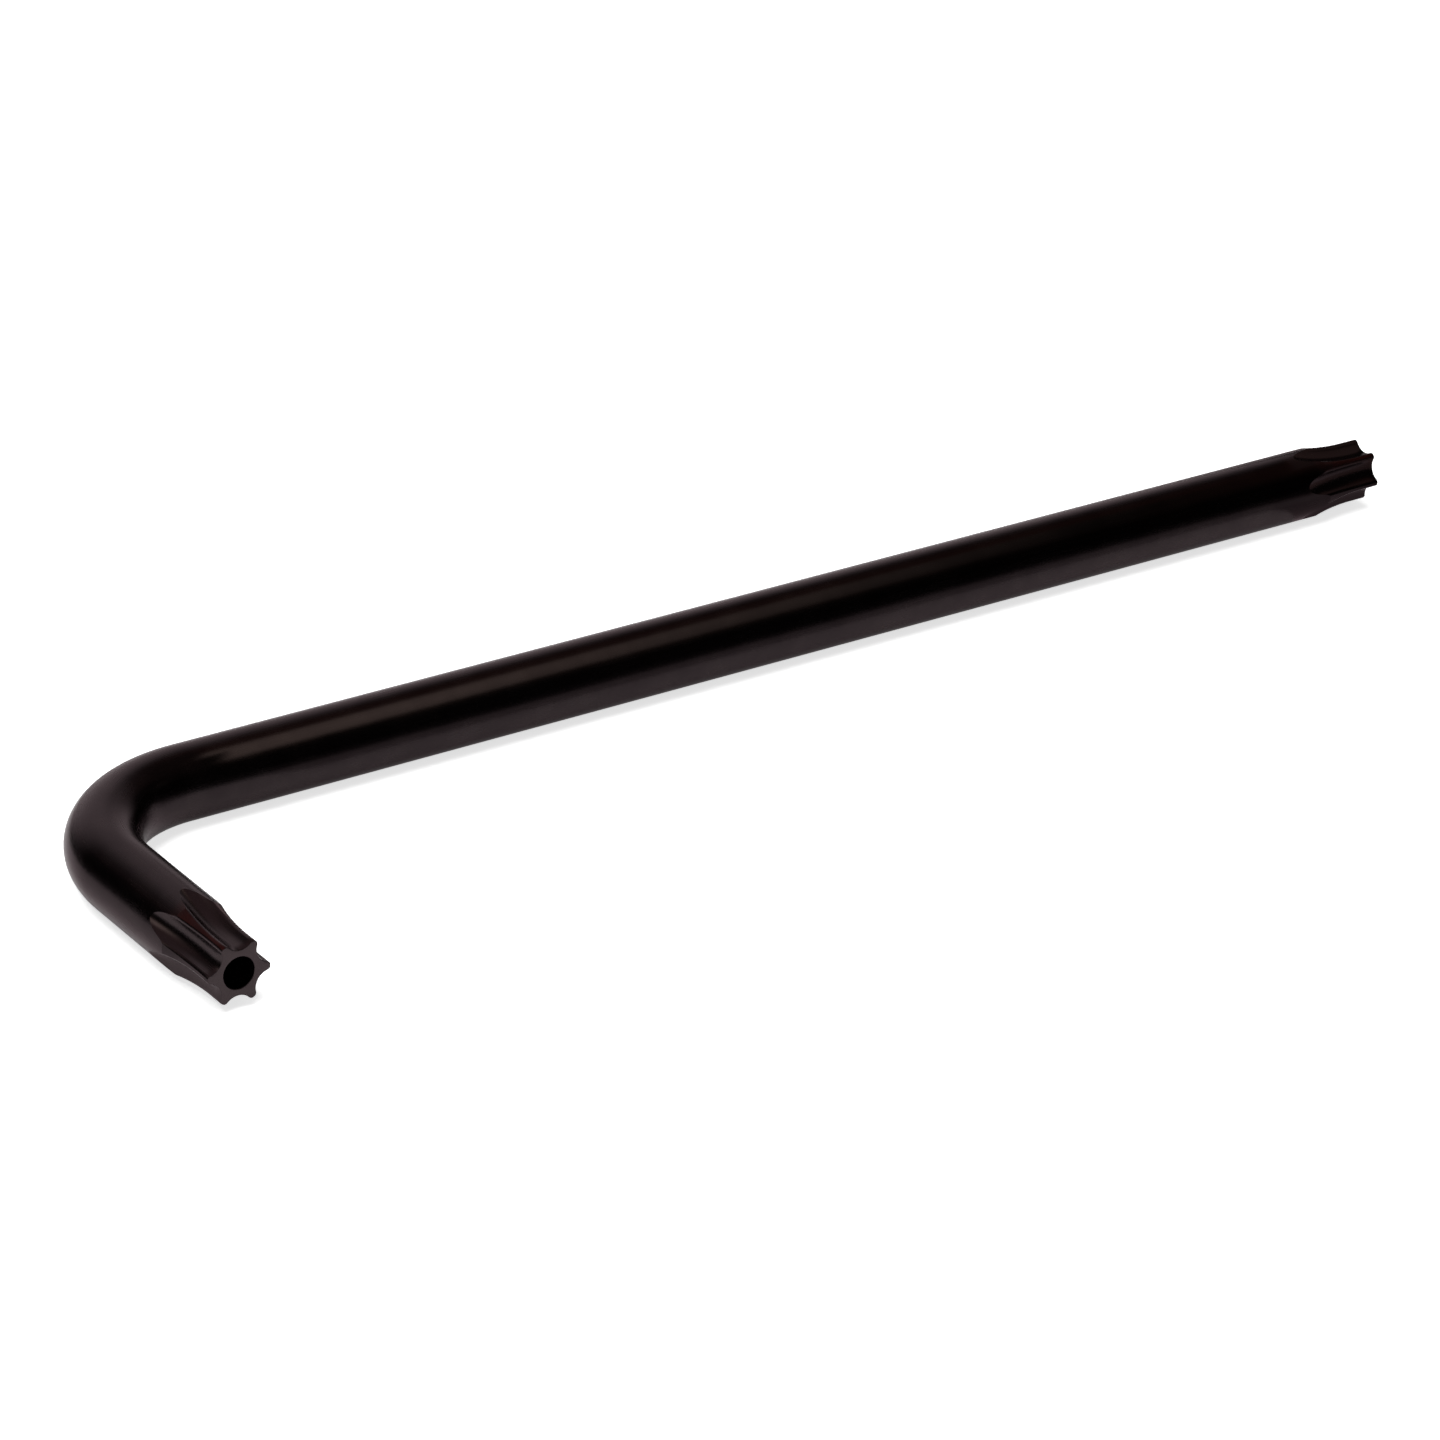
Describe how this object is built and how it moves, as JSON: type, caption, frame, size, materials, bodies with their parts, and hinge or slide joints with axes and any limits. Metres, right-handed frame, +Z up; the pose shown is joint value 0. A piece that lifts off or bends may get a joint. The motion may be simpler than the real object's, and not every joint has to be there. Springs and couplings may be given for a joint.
{
  "type": "six-lobe security key",
  "caption": "L-shaped round-rod key with a pin-clearing six-lobe star tip on each end, in black oxide steel.",
  "frame": {"origin": "middle of the overall box, on the surface that the key lies on", "axes": "+X along the long arm towards its tip, -Y along the short arm towards its tip, +Z up, square to the plane of the bend"},
  "size_m": [0.0988, 0.0232, 0.0045],
  "materials": {
    "black_oxide_steel": "black oxide, satin"
  },
  "bodies": {
    "root": {"key": "black_oxide_steel"}
  },
  "joints": []
}
